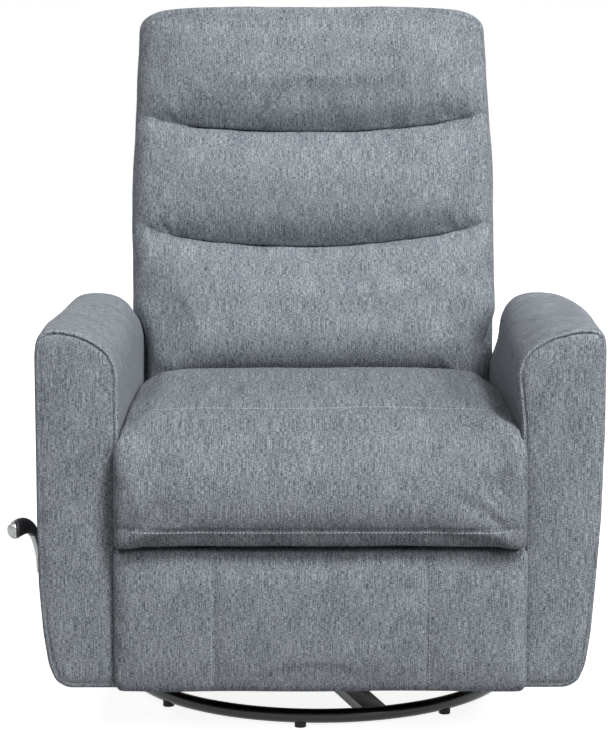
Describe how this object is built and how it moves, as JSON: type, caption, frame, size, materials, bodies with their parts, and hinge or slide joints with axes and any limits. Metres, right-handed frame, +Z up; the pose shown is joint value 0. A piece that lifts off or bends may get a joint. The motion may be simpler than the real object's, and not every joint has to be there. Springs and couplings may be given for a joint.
{
  "type": "swivel glider recliner",
  "caption": "Upholstered recliner on a ring base: turns and glides, its back reclines, and a side lever throws out its footrest.",
  "frame": {"origin": "where the swivel axis meets the floor", "axes": "+Z up along the swivel axis, +X to the right seen from the front, -Y towards the front, the lever on the -X side"},
  "size_m": [0.8832, 0.926, 1.093],
  "materials": {
    "upholstery": "heathered linen-look weave",
    "timber": "unfinished",
    "black_steel": "gloss black powder coat",
    "zinc_steel": "zinc plated",
    "spring_steel": "drawn wire",
    "pad_rubber": "matt",
    "lever_metal": "satin nickel",
    "grip_plastic": "soft touch"
  },
  "bodies": {
    "base": {"base_ring": "black_steel", "base_cross": "black_steel", "floor_pad_1": "pad_rubber", "floor_pad_2": "pad_rubber", "floor_pad_3": "pad_rubber", "floor_pad_4": "pad_rubber", "floor_pad_5": "pad_rubber", "floor_pad_6": "pad_rubber", "floor_pad_7": "pad_rubber", "floor_pad_8": "pad_rubber", "bearing_lower_plate": "zinc_steel", "king_bolt": "zinc_steel"},
    "turntable": {"bearing_upper_plate": "zinc_steel", "swivel_plate": "black_steel", "glider_bracket_left": "black_steel", "glider_bracket_right": "black_steel"},
    "front_swing_links": {"swing_link_front_left": "zinc_steel", "swing_link_front_right": "zinc_steel"},
    "rear_swing_links": {"swing_link_rear_left": "zinc_steel", "swing_link_rear_right": "zinc_steel"},
    "chair_frame": {"carriage_rail_left": "black_steel", "carriage_rail_right": "black_steel", "cross_tube_front": "black_steel", "cross_tube_rear": "black_steel", "mechanism_side_plate_left": "black_steel", "mechanism_side_plate_right": "black_steel", "arm_board_left": "timber", "arm_board_right": "timber", "arm_cover_left": "upholstery", "arm_cover_right": "upholstery", "rear_apron": "upholstery", "seat_side_rail_left": "timber", "seat_side_rail_right": "timber", "seat_front_rail": "timber", "seat_rear_rail": "timber", "seat_spring_1": "spring_steel", "seat_spring_2": "spring_steel", "seat_spring_3": "spring_steel", "seat_spring_4": "spring_steel", "seat_cushion": "upholstery"},
    "back": {"back_strap_left": "zinc_steel", "back_strap_right": "zinc_steel", "back_frame": "timber", "back_rear_panel": "upholstery", "back_cushion": "upholstery"},
    "lift_links": {"lift_link_left": "zinc_steel", "lift_link_right": "zinc_steel"},
    "cross_links": {"cross_link_left": "zinc_steel", "cross_link_right": "zinc_steel"},
    "outer_links": {"outer_link_left": "zinc_steel", "outer_link_right": "zinc_steel"},
    "footrest": {"footrest_lug_left": "zinc_steel", "footrest_lug_right": "zinc_steel", "footrest_board": "timber", "footrest_cushion": "upholstery"},
    "lever_shaft": {"torque_shaft": "black_steel", "crank_link_left": "zinc_steel", "crank_link_right": "zinc_steel", "lever": "lever_metal", "lever_grip": "grip_plastic"}
  },
  "joints": [
    {"name": "swivel", "type": "hinge", "parent": "base", "child": "turntable", "pos_m": [0, 0, 0], "axis": [0, 0, 1], "continuous": true},
    {"name": "glide", "type": "hinge", "parent": "turntable", "child": "front_swing_links", "pos_m": [0, -0.11, 0.19], "axis": [1, 0, 0], "range_deg": [-20, 20]},
    {"name": "carriage_level", "type": "hinge", "parent": "front_swing_links", "child": "chair_frame", "pos_m": [0, -0.11, 0.07], "axis": [1, 0, 0], "range_deg": [-20, 20]},
    {"name": "glide_rear", "type": "hinge", "parent": "turntable", "child": "rear_swing_links", "pos_m": [0, 0.11, 0.19], "axis": [1, 0, 0], "range_deg": [-20, 20]},
    {"name": "back_recline", "type": "hinge", "parent": "chair_frame", "child": "back", "pos_m": [0, 0.115, 0.366], "axis": [-1, 0, 0], "range_deg": [0, 40]},
    {"name": "footrest_lift", "type": "hinge", "parent": "chair_frame", "child": "lift_links", "pos_m": [0, -0.3004, 0.3052], "axis": [-1, 0, 0], "range_deg": [0, 90]},
    {"name": "cross_link_turn", "type": "hinge", "parent": "lift_links", "child": "cross_links", "pos_m": [0, -0.25848, 0.17225], "axis": [-1, 0, 0], "range_deg": [-104, 0]},
    {"name": "footrest_turn", "type": "hinge", "parent": "cross_links", "child": "footrest", "pos_m": [0, -0.36068, 0.30306], "axis": [-1, 0, 0], "range_deg": [0, 104]},
    {"name": "outer_link_turn", "type": "hinge", "parent": "lift_links", "child": "outer_links", "pos_m": [0, -0.23957, 0.11226], "axis": [-1, 0, 0], "range_deg": [-104, 0]},
    {"name": "lever_turn", "type": "hinge", "parent": "chair_frame", "child": "lever_shaft", "pos_m": [0, -0.262, 0.2479], "axis": [-1, 0, 0], "range_deg": [0, 92.5]}
  ],
  "couplings": [
    {"joint": "carriage_level", "follows": "glide", "ratio": -1},
    {"joint": "glide_rear", "follows": "glide", "ratio": 1},
    {"joint": "cross_link_turn", "follows": "footrest_lift", "ratio": -1.15},
    {"joint": "footrest_turn", "follows": "footrest_lift", "ratio": 1.15},
    {"joint": "outer_link_turn", "follows": "footrest_lift", "ratio": -1.15},
    {"joint": "lever_turn", "follows": "footrest_lift", "ratio": 1.0267}
  ]
}
